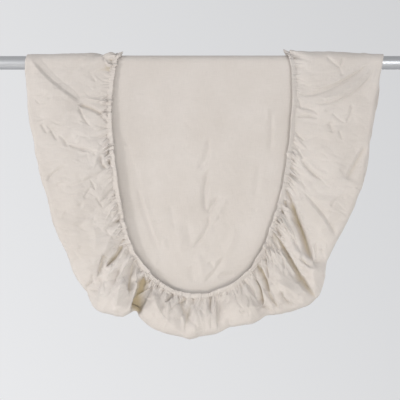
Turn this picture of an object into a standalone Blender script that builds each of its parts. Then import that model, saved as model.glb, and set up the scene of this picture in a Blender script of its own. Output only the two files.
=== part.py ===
"""Fitted sheet folded over a round rail: a cloth panel with a gathered skirt that ends in an elastic hem.

The rail lies along X with its middle at the origin. The sheet hangs over it in two halves, the front one
towards -Y. In each half the skirt is turned outwards, so that its hem makes a U round the inside of the panel.
Metres, +Z up. Tables are in millimetres.
"""
import math

import bmesh
import bpy
import numpy as np
from mathutils import Matrix

MM = 0.001

# Rail
RAIL_DIAMETER = 0.025
RAIL_LENGTH = 0.900
RAIL_FACES = 32
RAIL_CHAMFER = 0.0015

# Cloth
CLOTH_THICKNESS = 0.002
HEM_THICKNESS = 0.0032
HEM_WIDTH = 0.008
RAIL_CLEARANCE = 0.0007
LAY_RADIUS = RAIL_DIAMETER / 2 + RAIL_CLEARANCE + CLOTH_THICKNESS / 2
QUARTER_TURN = LAY_RADIUS * math.pi / 2

# How the two hanging halves draw together below the rail
LEAN = 0.004
LEAN_DROP = 0.450

# Half width and hanging length that the sections' angles are measured with
HALF_WIDTH = 0.330
HANG_LENGTH = 0.525

# Mesh density: rows over the rail and below it on each side, columns across the bottom of each half, and steps
# round the turned edge and up the skirt, where there are two columns for each one of the panel's.
RAIL_ROWS = 8
HANGING_ROWS = 10
BOTTOM_COLUMNS = 18
TURN_STEPS = 4
SKIRT_STEPS = 7
# The panel's rows are straight over the rail, and bow with its outline from here down.
STRAIGHT_LENGTH = 0.030
# Drop of the four corners of the panel's grid, where its sides end and its bottom starts
CORNER_DROP = 0.345

# Sections through the skirt, from the rail's left end round the bottom to its right end. "edge" is where the
# cloth turns from panel to skirt and "hem" is where the skirt ends, each as x and drop below the rail's axis.
# "turn" is half the height of the turned edge, "reach" how far the turn runs inwards, "puff" how far the skirt
# swells beyond a straight line, and "stand" how far the hem stands off the panel.
SECTION_COLUMNS = ("edge_x", "edge_drop", "hem_x", "hem_drop", "turn", "reach", "puff", "stand")
FRONT_SECTIONS = (
    (-322, 0, -150, 0, 2.6, 4, 1, 7),
    (-320, 50, -158, 45, 4, 7, 3, 9),
    (-313, 105, -161, 95, 5, 9, 4, 12),
    (-300, 173, -157, 160, 6, 10, 5, 16),
    (-283, 238, -149, 225, 7, 11, 6, 19),
    (-267, 298, -138, 285, 8, 13, 7, 19),
    (-246, 350, -127, 326, 9, 14, 6, 18),
    (-229, 388, -115, 351, 9, 14, 5, 17),
    (-211, 415, -106, 363, 8, 12, 2, 16),
    (-193, 444, -97, 376, 15, 20, 9, 16),
    (-163, 462, -88, 387, 17, 22, 12, 16),
    (-139, 463, -80, 395, 15, 20, 8, 15),
    (-124, 452, -74, 400, 9, 12, -3, 14),
    (-111, 464, -67, 405, 14, 18, 4, 14),
    (-89, 484, -56, 411, 17, 22, 10, 14),
    (-58, 500, -40, 417, 18, 23, 12, 14),
    (-26, 507, -18, 423, 17, 22, 8, 13),
    (5, 506, 3, 424, 18, 23, 12, 13),
    (31, 495, 20, 420, 16, 21, 7, 13),
    (50, 484, 33, 415, 13, 18, 1, 13),
    (83, 483, 56, 406, 18, 23, 12, 13),
    (108, 474, 72, 394, 15, 20, 7, 13),
    (121, 459, 82, 385, 9, 13, -2, 12),
    (143, 460, 90, 378, 14, 19, 5, 12),
    (170, 455, 98, 366, 16, 21, 9, 12),
    (200, 441, 106, 352, 15, 20, 8, 12),
    (219, 421, 114, 338, 13, 17, 6, 12),
    (228, 389, 121, 322, 11, 15, 4, 11),
    (233, 362, 127, 304, 8, 12, 1, 11),
    (252, 325, 136, 280, 9, 13, 6, 10),
    (272, 287, 145, 248, 8, 12, 6, 10),
    (292, 240, 153, 210, 7, 11, 5, 9),
    (307, 186, 160, 165, 6, 10, 5, 9),
    (316, 130, 165, 115, 5, 9, 4, 9),
    (326, 65, 168, 58, 4, 7, 3, 8),
    (335, 0, 164, 0, 2.6, 4, 1, 7),
)
BACK_SECTIONS = (
    (340, 0, 166, 0, 2.6, 4, 1, 7),
    (336, 65, 168, 55, 4, 7, 3, 8),
    (322, 145, 164, 130, 6, 10, 5, 10),
    (303, 215, 156, 195, 7, 11, 6, 12),
    (274, 280, 142, 255, 9, 13, 7, 13),
    (236, 340, 122, 310, 12, 16, 8, 14),
    (186, 398, 94, 356, 15, 20, 9, 14),
    (130, 440, 64, 384, 16, 21, 10, 14),
    (72, 458, 36, 396, 17, 22, 10, 14),
    (0, 466, 0, 400, 17, 22, 9, 14),
    (-66, 459, -34, 396, 17, 22, 10, 14),
    (-122, 440, -62, 384, 16, 21, 10, 14),
    (-176, 400, -92, 356, 15, 20, 9, 14),
    (-220, 345, -118, 312, 12, 16, 8, 14),
    (-250, 290, -136, 260, 9, 13, 7, 13),
    (-274, 230, -148, 205, 7, 11, 6, 12),
    (-295, 158, -156, 140, 6, 10, 5, 10),
    (-312, 75, -157, 65, 4, 7, 3, 8),
    (-320, 0, -150, 0, 2.6, 4, 1, 7),
)
# The cloth on top of the rail, at the left and the right.
TOP_LEFT_SECTION = (-322, None, -141, None, 2.6, 4, 1, 7)
TOP_RIGHT_SECTION = (337, None, 153, None, 2.6, 4, 1, 7)

# Main folds of the front skirt. Each runs from its start through a bend to its end, as x and drop. "depth" is how
# far it stands out, or sinks in where it is negative, and "width" is its full width.
FOLD_COLUMNS = ("start_x", "start_drop", "bend_x", "bend_drop", "end_x", "end_drop", "depth", "width")
FRONT_FOLDS = (
    (-315, 0, -245, 62, -168, 106, -4, 34),
    (-285, 118, -245, 150, -185, 166, -3, 34),
    (-228, 318, -205, 290, -172, 250, -4, 40),
    (-136, 322, -150, 350, -172, 376, -9, 30),
    (-177, 356, -185, 395, -214, 424, -8, 30),
    (-112, 388, -124, 425, -140, 460, -7, 30),
    (-98, 395, -112, 425, -116, 462, -14, 30),
    (-70, 410, -62, 445, -68, 470, -4, 34),
    (-18, 430, -30, 468, -10, 502, -6, 34),
    (30, 425, 34, 455, 40, 492, -10, 30),
    (82, 400, 98, 430, 118, 458, -9, 28),
    (102, 366, 124, 420, 144, 456, -8, 28),
    (132, 312, 172, 376, 214, 432, -9, 30),
    (150, 262, 172, 335, 205, 395, 6, 40),
    (155, 228, 186, 300, 216, 366, -13, 32),
    (222, 280, 250, 300, 262, 325, 4, 44),
    (309, 140, 290, 180, 262, 222, -6, 40),
    (173, 52, 240, 60, 330, 0, -3, 30),
    (190, 95, 262, 66, 332, 12, 3, 30),
    (180, 160, 215, 190, 235, 232, -4, 34),
)
# The back skirt repeats these at a smaller size and mirrored, because it hangs facing the other way.
BACK_FOLD_SCALE = (-0.96, 0.92)


def columns(rows, names):
    """A table's columns as arrays in metres, by name."""
    data = np.array(rows, dtype=float) * MM
    return {name: data[:, index] for index, name in enumerate(names)}


def ring_sections():
    """All the sections in order round the sheet, with the angle of each, starting on top of the rail's left end."""
    top = -QUARTER_TURN / MM
    left = tuple(top if value is None else value for value in TOP_LEFT_SECTION)
    right = tuple(top if value is None else value for value in TOP_RIGHT_SECTION)
    table = columns((left, *FRONT_SECTIONS, right, *BACK_SECTIONS), SECTION_COLUMNS)
    front_count = len(FRONT_SECTIONS) + 1
    side = np.where(np.arange(len(table["edge_x"])) <= front_count, 1.0, -1.0)
    ring = {name: table[name] for name in ("turn", "reach", "puff", "stand")}
    for end in ("edge", "hem"):
        ring[end + "_x"] = table[end + "_x"]
        ring[end + "_length"] = side * (table[end + "_drop"] + QUARTER_TURN)
    angle = np.arctan2(ring["edge_length"] / HANG_LENGTH, -ring["edge_x"] / HALF_WIDTH)
    ring["angle"] = np.unwrap(angle)
    return ring


def smooth_between(angle, ring, name):
    """The ring's value at each angle, along a smooth closed curve through its sections."""
    turn = 2 * math.pi
    knots = ring["angle"]
    values = ring[name]
    count = len(knots)
    position = knots[0] + np.mod(angle - knots[0], turn)
    start = np.clip(np.searchsorted(knots, position, side="right") - 1, 0, count - 1)

    def knot(index):
        return knots[index % count] + turn * (index // count)

    before, first, second, after = (knot(start + step) for step in (-1, 0, 1, 2))
    v_before, v_first, v_second, v_after = (values[(start + step) % count] for step in (-1, 0, 1, 2))
    span = second - first
    slope_first = (v_second - v_before) / (second - before) * span
    slope_second = (v_after - v_first) / (after - first) * span
    t = (position - first) / span
    return (
        (2 * t**3 - 3 * t**2 + 1) * v_first
        + (t**3 - 2 * t**2 + t) * slope_first
        + (3 * t**2 - 2 * t**3) * v_second
        + (t**3 - t**2) * slope_second
    )


def smooth_step(value):
    """0 to 1 with flat ends."""
    value = np.clip(value, 0.0, 1.0)
    return value * value * (3 - 2 * value)


def fold_height(x, drop, scale=(1.0, 1.0)):
    """How far the main folds lift or sink the skirt at each point of the front."""
    folds = columns(FRONT_FOLDS, FOLD_COLUMNS)
    height = np.zeros_like(x)
    steps = np.linspace(0, 1, 13)
    for index in range(len(FRONT_FOLDS)):
        row = {name: folds[name][index] for name in FOLD_COLUMNS}
        path_x = scale[0] * (
            (1 - steps) ** 2 * row["start_x"] + 2 * steps * (1 - steps) * row["bend_x"] + steps**2 * row["end_x"]
        )
        path_drop = scale[1] * (
            (1 - steps) ** 2 * row["start_drop"] + 2 * steps * (1 - steps) * row["bend_drop"] + steps**2 * row["end_drop"]
        )
        nearest = np.full(x.shape, np.inf)
        along = np.zeros_like(x)
        for step in range(len(steps) - 1):
            dx = path_x[step + 1] - path_x[step]
            dd = path_drop[step + 1] - path_drop[step]
            t = ((x - path_x[step]) * dx + (drop - path_drop[step]) * dd) / (dx * dx + dd * dd)
            t = np.clip(t, 0, 1)
            distance = np.hypot(x - path_x[step] - t * dx, drop - path_drop[step] - t * dd)
            closer = distance < nearest
            nearest = np.where(closer, distance, nearest)
            along = np.where(closer, (step + t) / (len(steps) - 1), along)
        ends = smooth_step(along / 0.2) * smooth_step((1 - along) / 0.2)
        height += row["depth"] * ends * np.exp(-((nearest / (row["width"] / 2)) ** 2))
    return height


def hang(x, length, height):
    """Place points of the cloth: length along it from the top of the rail, and height off the panel's middle layer."""
    side = np.sign(length)
    on_rail = np.abs(length) <= QUARTER_TURN
    angle = length / LAY_RADIUS
    drop = np.abs(length) - QUARTER_TURN
    lean = LEAN * smooth_step(drop / LEAN_DROP)
    y = np.where(on_rail, -(LAY_RADIUS + height) * np.sin(angle), -side * (LAY_RADIUS + height - lean))
    z = np.where(on_rail, (LAY_RADIUS + height) * np.cos(angle), -drop)
    return np.stack((x, y, z), axis=-1)


def panel_edge(ring, angle):
    """Where the flat panel ends and the turned edge begins, as x and length along the cloth."""
    value = {name: smooth_between(angle, ring, name) for name in ring if name != "angle"}
    run_x = value["hem_x"] - value["edge_x"]
    run_length = value["hem_length"] - value["edge_length"]
    share = value["reach"] / np.hypot(run_x, run_length)
    return value["edge_x"] + share * run_x, value["edge_length"] + share * run_length


def side_lengths():
    """Lengths along the cloth of the panel's rows, from the back corner over the rail to the front corner."""
    over_rail = np.linspace(0, QUARTER_TURN, RAIL_ROWS // 2 + 1)
    steps = np.arange(1, HANGING_ROWS + 1) / HANGING_ROWS
    below = QUARTER_TURN + CORNER_DROP * (0.75 * steps + 0.25 * steps**2)
    half = np.concatenate((over_rail, below))
    return np.concatenate((-half[:0:-1], half))


def rim_angles(ring):
    """Angles of the panel's rim columns: down its left side, along the front bottom, up its right side, and the back."""
    lengths = side_lengths()
    turn = 2 * math.pi
    fine = ring["angle"][0] + np.linspace(-0.25, 0.75, 4001) * turn
    edge_length = smooth_between(fine, ring, "edge_length")
    edge_x = smooth_between(fine, ring, "edge_x")
    left = (edge_x < 0) & (np.abs(edge_length) < HANG_LENGTH * 0.85)
    right = (edge_x > 0) & (np.abs(edge_length) < HANG_LENGTH * 0.85)
    left_angles = np.interp(lengths, edge_length[left], fine[left])
    right_angles = np.interp(-lengths[::-1], -edge_length[right], fine[right])

    def along_bottom(first, last):
        angles = np.linspace(first, last, 801)
        x = smooth_between(angles, ring, "edge_x")
        length = smooth_between(angles, ring, "edge_length")
        run = np.concatenate(([0], np.cumsum(np.hypot(np.diff(x), np.diff(length)))))
        return np.interp(np.linspace(0, run[-1], BOTTOM_COLUMNS + 1), run, angles)

    front = along_bottom(left_angles[-1], right_angles[0])
    back = along_bottom(right_angles[-1], left_angles[0] + turn)
    return left_angles[:-1], front[:-1], right_angles[:-1], back[:-1]


def panel_grid(ring, sides):
    """The flat panel as a grid of points between its four sides: rows down the cloth, columns across it."""
    left, front, right, back = sides
    left = np.append(left, front[0])
    front = np.append(front, right[0])
    right = np.append(right, back[0])
    back = np.append(back, left[0])
    left_x, left_length = panel_edge(ring, left)
    right_x, right_length = (side[::-1] for side in panel_edge(ring, right))
    front_x, front_length = panel_edge(ring, front)
    back_x, back_length = (side[::-1] for side in panel_edge(ring, back))
    across = np.linspace(0, 1, len(front))[None, :]
    lengths = (left_length + right_length) / 2
    hanging = np.clip((np.abs(lengths) - STRAIGHT_LENGTH) / (np.abs(lengths).max() - STRAIGHT_LENGTH), 0, 1) ** 1.3
    front_share = np.where(lengths > 0, hanging, 0)[:, None]
    back_share = np.where(lengths < 0, hanging, 0)[:, None]

    def fill(left_side, right_side, back_side, front_side):
        between_sides = (1 - across) * left_side[:, None] + across * right_side[:, None]
        back_bow = back_side - (1 - across) * back_side[0] - across * back_side[-1]
        front_bow = front_side - (1 - across) * front_side[0] - across * front_side[-1]
        return between_sides + back_share * back_bow + front_share * front_bow

    x = fill(left_x, right_x, back_x, front_x)
    length = fill(left_length, right_length, back_length, front_length)
    return hang(x, length, np.zeros_like(x))


def skirt_points(ring, angle):
    """The turned edge and the skirt for each angle, as rows from the panel's edge to the hem."""
    value = {name: smooth_between(angle, ring, name) for name in ring if name != "angle"}
    run_x = value["hem_x"] - value["edge_x"]
    run_length = value["hem_length"] - value["edge_length"]
    width = np.hypot(run_x, run_length)
    run_x = run_x / width
    run_length = run_length / width
    rows = []
    for step in range(TURN_STEPS + 1):
        swing = math.pi * (step / TURN_STEPS - 0.5)
        inwards = value["reach"] * (1 - math.cos(swing))
        rows.append((inwards, value["turn"] * (1 + math.sin(swing))))
    top = 2 * value["turn"]
    hem_line = 1 - HEM_WIDTH / (width - value["reach"])
    for step in range(1, SKIRT_STEPS + 1):
        share = hem_line * step / (SKIRT_STEPS - 1) if step < SKIRT_STEPS else np.ones_like(width)
        inwards = value["reach"] + share * (width - value["reach"])
        height = top + (value["stand"] - top) * smooth_step(share) + value["puff"] * np.sin(math.pi * share) ** 1.3
        x = value["edge_x"] + run_x * inwards
        length = value["edge_length"] + run_length * inwards
        drop = np.abs(length) - QUARTER_TURN
        fade = smooth_step(share / 0.25) * smooth_step((1 - share) / 0.12) * smooth_step((drop + 0.01) / 0.03)
        front = fold_height(x, drop)
        back = fold_height(x, drop, BACK_FOLD_SCALE)
        height = height + fade * np.where(length > 0, front, back)
        floor = 0.0045 + 0.5 * value["turn"]
        rows.append((inwards, np.maximum(height, floor)))
    points = []
    for inwards, height in rows:
        x = value["edge_x"] + run_x * inwards
        length = value["edge_length"] + run_length * inwards
        points.append(hang(x, length, height))
    return points


def make_material(name, colour, roughness, metallic):
    """A plain surface finish."""
    material = bpy.data.materials.new(name)
    material.use_nodes = True
    shader = material.node_tree.nodes["Principled BSDF"]
    shader.inputs["Base Color"].default_value = (*colour, 1.0)
    shader.inputs["Roughness"].default_value = roughness
    shader.inputs["Metallic"].default_value = metallic
    return material


def make_object(name, mesh, material):
    """Put a mesh in the scene under its own name with its own finish."""
    mesh.materials.append(material)
    item = bpy.data.objects.new(name, mesh)
    bpy.context.collection.objects.link(item)
    return item


def join_rows(mesh, outer, inner):
    """Faces between two closed rows of points, where the inner row may have twice as many."""
    count = len(outer)
    if len(inner) == count:
        for place in range(count):
            after = (place + 1) % count
            mesh.faces.new((outer[after], outer[place], inner[place], inner[after]))
        return
    for place in range(count):
        after = (place + 1) % count
        first, middle, last = (inner[(2 * place + step) % len(inner)] for step in range(3))
        mesh.faces.new((outer[place], first, middle))
        mesh.faces.new((outer[place], middle, outer[after]))
        mesh.faces.new((outer[after], middle, last))


def build_sheet():
    """The sheet's middle layer as one mesh, thickened on both sides into a closed cloth with a thicker hem."""
    ring = ring_sections()
    sides = rim_angles(ring)
    points = panel_grid(ring, sides)
    mesh = bmesh.new()
    weights = mesh.verts.layers.deform.verify()
    grid = [[mesh.verts.new(point) for point in row] for row in points]
    for upper, lower in zip(grid[:-1], grid[1:]):
        for column in range(len(upper) - 1):
            mesh.faces.new((upper[column], upper[column + 1], lower[column + 1], lower[column]))

    rim = [row[0] for row in grid[:-1]]
    rim += grid[-1][:-1]
    rim += [row[-1] for row in grid[:0:-1]]
    rim += grid[0][:0:-1]
    coarse = np.concatenate(sides)
    closed = np.append(coarse, coarse[0] + 2 * math.pi)
    fine = np.stack((closed[:-1], (closed[:-1] + closed[1:]) / 2), axis=-1).ravel()
    previous = rim
    rows = skirt_points(ring, fine)[1:]
    for index, row in enumerate(rows):
        current = [mesh.verts.new(point) for point in row]
        join_rows(mesh, previous, current)
        previous = current
        if index >= len(rows) - 2:
            for vert in current:
                vert[weights][0] = 1.0
    thin = CLOTH_THICKNESS / HEM_THICKNESS
    for vert in mesh.verts:
        if 0 not in vert[weights]:
            vert[weights][0] = thin
    bmesh.ops.recalc_face_normals(mesh, faces=mesh.faces)

    data = bpy.data.meshes.new("sheet")
    mesh.to_mesh(data)
    mesh.free()
    data.shade_smooth()
    sheet = make_object("sheet", data, make_material("cloth", (0.66, 0.60, 0.54), 0.9, 0.0))
    thickness = sheet.vertex_groups.new(name="thickness")
    solidify = sheet.modifiers.new("cloth thickness", "SOLIDIFY")
    solidify.thickness = HEM_THICKNESS
    solidify.offset = 0.0
    solidify.use_even_offset = True
    solidify.vertex_group = thickness.name
    return sheet


def build_rail():
    """A round bar along X with lightly chamfered flat ends."""
    mesh = bmesh.new()
    bmesh.ops.create_cone(
        mesh,
        cap_ends=True,
        segments=RAIL_FACES,
        radius1=RAIL_DIAMETER / 2,
        radius2=RAIL_DIAMETER / 2,
        depth=RAIL_LENGTH,
    )
    bmesh.ops.rotate(mesh, verts=mesh.verts, matrix=Matrix.Rotation(math.radians(90), 3, "Y"))
    rims = [edge for edge in mesh.edges if abs(abs(edge.verts[0].co.x + edge.verts[1].co.x) - RAIL_LENGTH) < 1e-6]
    bmesh.ops.bevel(mesh, geom=rims, offset=RAIL_CHAMFER, segments=1, affect="EDGES")
    data = bpy.data.meshes.new("rail")
    mesh.to_mesh(data)
    mesh.free()
    data.shade_smooth()
    data.set_sharp_from_angle(angle=math.radians(30))
    return make_object("rail", data, make_material("metal", (0.55, 0.56, 0.57), 0.28, 1.0))


def main():
    """Clear the scene and build both pieces."""
    for item in list(bpy.data.objects):
        bpy.data.objects.remove(item, do_unlink=True)
    build_rail()
    build_sheet()


main()
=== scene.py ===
"""Fitted sheet folded over a round rail: washed cloth with creases and gathers, a metal tube and the light.

The rail lies along X with its middle at the origin. The sheet hangs over it in two halves, the front one to
-Y, with its skirt turned outwards, so that the hem makes a U round the inside of the panel. Places are in
metres, +Z up, and tables in millimetres. "Length" runs along the cloth from the top of the rail, down the
front as positive, and "drop" is how far a point lies below the rail's axis.
"""

import math

import bpy
import numpy as np
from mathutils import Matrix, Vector

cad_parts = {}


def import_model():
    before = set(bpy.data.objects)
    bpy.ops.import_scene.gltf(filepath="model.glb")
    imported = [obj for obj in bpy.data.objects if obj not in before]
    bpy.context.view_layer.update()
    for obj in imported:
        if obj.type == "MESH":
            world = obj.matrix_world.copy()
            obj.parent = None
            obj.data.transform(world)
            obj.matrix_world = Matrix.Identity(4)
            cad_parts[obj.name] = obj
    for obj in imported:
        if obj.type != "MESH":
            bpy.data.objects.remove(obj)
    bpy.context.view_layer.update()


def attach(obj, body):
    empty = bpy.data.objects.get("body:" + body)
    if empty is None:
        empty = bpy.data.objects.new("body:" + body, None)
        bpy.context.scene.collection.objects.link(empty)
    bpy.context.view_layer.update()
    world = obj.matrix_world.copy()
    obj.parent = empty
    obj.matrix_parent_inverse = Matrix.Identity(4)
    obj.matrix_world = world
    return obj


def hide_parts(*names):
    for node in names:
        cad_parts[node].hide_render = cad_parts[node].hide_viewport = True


MM = 0.001
TURN = 2 * math.pi

# Rail
RAIL_RADIUS = 0.0125
RAIL_LENGTH = 0.900
RAIL_WALL = 0.0015
RAIL_FACES = 96
RAIL_END_ROUND = 0.0005

# Cloth, whose solids are thicker than it is
CLOTH_GAP = 0.0009
LAY_RADIUS = RAIL_RADIUS + CLOTH_GAP
QUARTER_TURN = LAY_RADIUS * math.pi / 2
# The hem's casing: width, half thickness, crown and rise, and the stitch line's depth
HEM_WIDTH = 0.008
HEM_HALF = 0.0011
HEM_CROWN = 0.0004
HEM_RISE = 0.0024
STITCH_DEPTH = 0.0004
# What is left of creasing and gathers in the hem, and the share of the skirt over which they fade
HEM_CREASING = 0.25
HEM_GATHERS = 0.9
HEM_FADE = 0.10
# Shares of the skirt over which the main folds fade at the edge and the hem
FOLD_FADE = (0.25, 0.12)

# How the two hanging halves draw together below the rail
LEAN = 0.004
LEAN_DROP = 0.450

# Half width and hanging length for the sections' angles
HALF_WIDTH = 0.330
HANG_LENGTH = 0.525

# Mesh density
RAIL_ROWS = 16
FRONT_ROWS = 150
BACK_ROWS = 72
BOTTOM_COLUMNS = 230
# Columns of the skirt for each one of the panel
FRONT_SPLIT = 2
BACK_SPLIT = 1
TURN_STEPS = 12
SKIRT_STEPS = 96
HEM_STEPS = 4
HEM_EDGE_STEPS = 3
ROW_CROWDING = 0.35
STRAIGHT_LENGTH = 0.030
CORNER_DROP = 0.345
# Cells after which the noise and the facets' pattern repeat
NOISE_CELLS = 128
MOUND_CELLS = 64

# The two places of a point in a row, and the numbers in a section that are no lengths
AXES = ("x", "drop")
SHARES = ("gather", "crumple")

# Sections through the skirt, from the rail's left end round the bottom to its right end. The cloth turns from
# panel to skirt at "edge" and ends at "hem". "turn" is half the height of the turned edge, "reach" how far it
# runs inwards, "puff" how far the skirt swells, and "stand" how far the hem stands off the panel. "gather" is
# how deep the hem's gathers are, "spread" how far they run out, and "crumple" how creased the cloth is.
SECTION_COLUMNS = "edge_x edge_drop hem_x hem_drop turn reach puff stand gather spread crumple".split()
# Each half begins with a section on top of the rail.
TOP = -QUARTER_TURN / MM
FRONT_SECTIONS = (
    (-317, TOP, -141, TOP, 1.4, 4, 0, 9, 2.2, 26, 0.5),
    (-317, 0, -150, 0, 2, 4, 0, 3, 1.9, 24, 0.5), (-317, 50, -158, 45, 4, 7, 2, 2.5, 1.7, 20, 0.6),
    (-312, 105, -161, 95, 5, 9, 4, 5, 1.6, 20, 0.7), (-300, 173, -157, 160, 6, 10, 5, 7.5, 1.5, 18, 0.7),
    (-283, 238, -149, 225, 7, 11, 6, 8, 0.8, 16, 0.7), (-267, 298, -138, 285, 8, 13, 7, 8, 1.2, 24, 0.8),
    (-246, 350, -127, 326, 9, 14, 6, 8, 1.1, 30, 0.9), (-229, 388, -115, 351, 9, 14, 5, 7, 1, 34, 1),
    (-211, 415, -106, 363, 8, 12, 2, 7, 1, 36, 1), (-194, 447, -97, 376, 14, 19, 5, 6.5, 1, 36, 1),
    (-163, 461, -88, 387, 15, 20, 7, 6, 1, 36, 1), (-141, 465, -80, 395, 14, 19, 5, 6, 1, 32, 1),
    (-121, 457, -74, 400, 9, 12, -3, 7, 1.1, 30, 0.9), (-109, 467, -67, 405, 14, 18, 3, 6, 1, 26, 0.9),
    (-89, 485, -56, 411, 16, 21, 6, 6, 0.9, 24, 0.9), (-58, 497, -40, 417, 17, 22, 7, 5, 0.9, 24, 0.9),
    (-30, 502, -20, 423, 16, 21, 5, 3.5, 0.9, 26, 0.9), (-4, 502, 0, 424, 16, 21, 6, 3.5, 0.9, 26, 0.9),
    (31, 497, 20, 420, 15, 20, 5, 5, 0.9, 26, 0.9), (50, 487, 33, 415, 13, 18, 1, 5, 0.9, 26, 0.9),
    (83, 479, 56, 406, 17, 22, 8, 4, 0.8, 24, 0.9), (108, 471, 72, 394, 15, 20, 5, 5, 0.8, 26, 0.9),
    (121, 464, 82, 385, 11, 15, 2, 6, 0.8, 28, 0.9), (143, 461, 90, 378, 14, 19, 4, 7, 0.8, 30, 1),
    (170, 455, 98, 366, 16, 21, 7, 7, 0.8, 32, 1), (200, 443, 106, 352, 15, 20, 7, 8, 0.8, 32, 1),
    (219, 422, 114, 338, 13, 17, 6, 8, 0.9, 34, 1), (228, 389, 121, 322, 11, 15, 4, 8, 1, 36, 1),
    (233, 362, 127, 304, 8, 12, 1, 8, 1.1, 38, 0.9), (252, 325, 136, 280, 9, 13, 6, 7, 1.1, 38, 0.8),
    (272, 287, 145, 248, 8, 12, 6, 7, 1, 34, 0.7), (292, 240, 153, 210, 7, 11, 5, 7, 1, 32, 0.6),
    (304, 186, 160, 165, 6, 10, 5, 7, 0.8, 22, 0.5), (313, 130, 165, 115, 5, 9, 4, 6, 0.4, 18, 0.5),
    (323, 65, 168, 58, 4, 7, 3, 5, 0.3, 16, 0.5), (334, 0, 164, 0, 2.6, 4, 1, 7, 1.2, 18, 0.5),
)
BACK_SECTIONS = (
    (337, TOP, 153, TOP, 2.6, 4, 1, 13, 1.8, 26, 0.8),
    (337, 0, 166, 0, 2.6, 4, 1, 7, 1, 20, 0.6), (329, 65, 168, 55, 4, 7, 3, 8, 0.8, 20, 0.6),
    (316, 145, 164, 130, 6, 10, 5, 10, 0.9, 24, 0.6), (303, 215, 156, 195, 7, 11, 6, 12, 1, 30, 0.9),
    (274, 280, 142, 255, 9, 13, 7, 13, 1.1, 36, 1), (236, 340, 122, 310, 12, 16, 8, 14, 1.2, 44, 1),
    (186, 398, 94, 356, 15, 20, 9, 14, 1.2, 44, 1), (130, 440, 64, 384, 16, 21, 10, 14, 1.2, 40, 1),
    (72, 458, 36, 396, 17, 22, 10, 14, 1.1, 36, 0.9), (0, 466, 0, 400, 17, 22, 9, 14, 1.1, 36, 0.9),
    (-66, 459, -34, 396, 17, 22, 10, 14, 1.1, 36, 0.9), (-122, 440, -62, 384, 16, 21, 10, 14, 1.2, 40, 1),
    (-176, 400, -92, 356, 15, 20, 9, 14, 1.2, 44, 1), (-220, 345, -118, 312, 12, 16, 8, 14, 1.2, 44, 1),
    (-250, 290, -136, 260, 9, 13, 7, 13, 1, 34, 0.9), (-274, 230, -148, 205, 7, 11, 6, 12, 1, 28, 0.9),
    (-295, 158, -156, 140, 6, 10, 5, 10, 0.9, 22, 0.8), (-312, 75, -157, 65, 4, 7, 3, 8, 0.9, 20, 0.8),
    (-320, 0, -150, 0, 2.6, 4, 1, 7, 1.1, 20, 0.7),
)

# Main folds of the front skirt, each from its start through a bend to its end. A negative "depth" sinks in.
FOLD_COLUMNS = "start_x start_drop bend_x bend_drop end_x end_drop depth width".split()
FRONT_FOLDS = (
    (-315, 0, -245, 62, -168, 106, -4, 34), (-285, 118, -245, 150, -185, 166, -3, 34),
    (-228, 318, -205, 290, -172, 250, -4, 40), (-136, 322, -150, 350, -172, 376, -6, 26),
    (-177, 356, -185, 395, -214, 424, -3, 30), (-112, 388, -124, 425, -140, 460, -5, 30),
    (-102, 392, -112, 425, -118, 464, -15, 32), (-70, 410, -62, 445, -68, 470, -4, 34),
    (-18, 430, -30, 468, -10, 502, -3.5, 34), (30, 425, 34, 455, 40, 492, -3.5, 30),
    (82, 400, 98, 430, 118, 458, -3, 28), (102, 366, 124, 420, 144, 456, -6, 22),
    (132, 312, 172, 376, 214, 432, -7, 26), (150, 262, 172, 335, 205, 395, 7, 34),
    (126, 350, 146, 395, 172, 436, 6, 26), (155, 228, 186, 300, 216, 366, -6, 30),
    (222, 280, 250, 300, 262, 325, 4, 44), (309, 140, 290, 180, 262, 222, -6, 40),
    (173, 52, 240, 60, 330, 0, -3, 30), (190, 95, 262, 66, 332, 12, 3, 30),
    (180, 160, 215, 190, 235, 232, -4, 34),
)
# The back repeats folds and creases smaller, flatter and mirrored, and never deeper than the limit.
BACK_FOLD_SCALE = (-0.96, 0.92)
BACK_FOLD_DEPTH = 0.6
BACK_FOLD_LIMIT = 0.004

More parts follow.
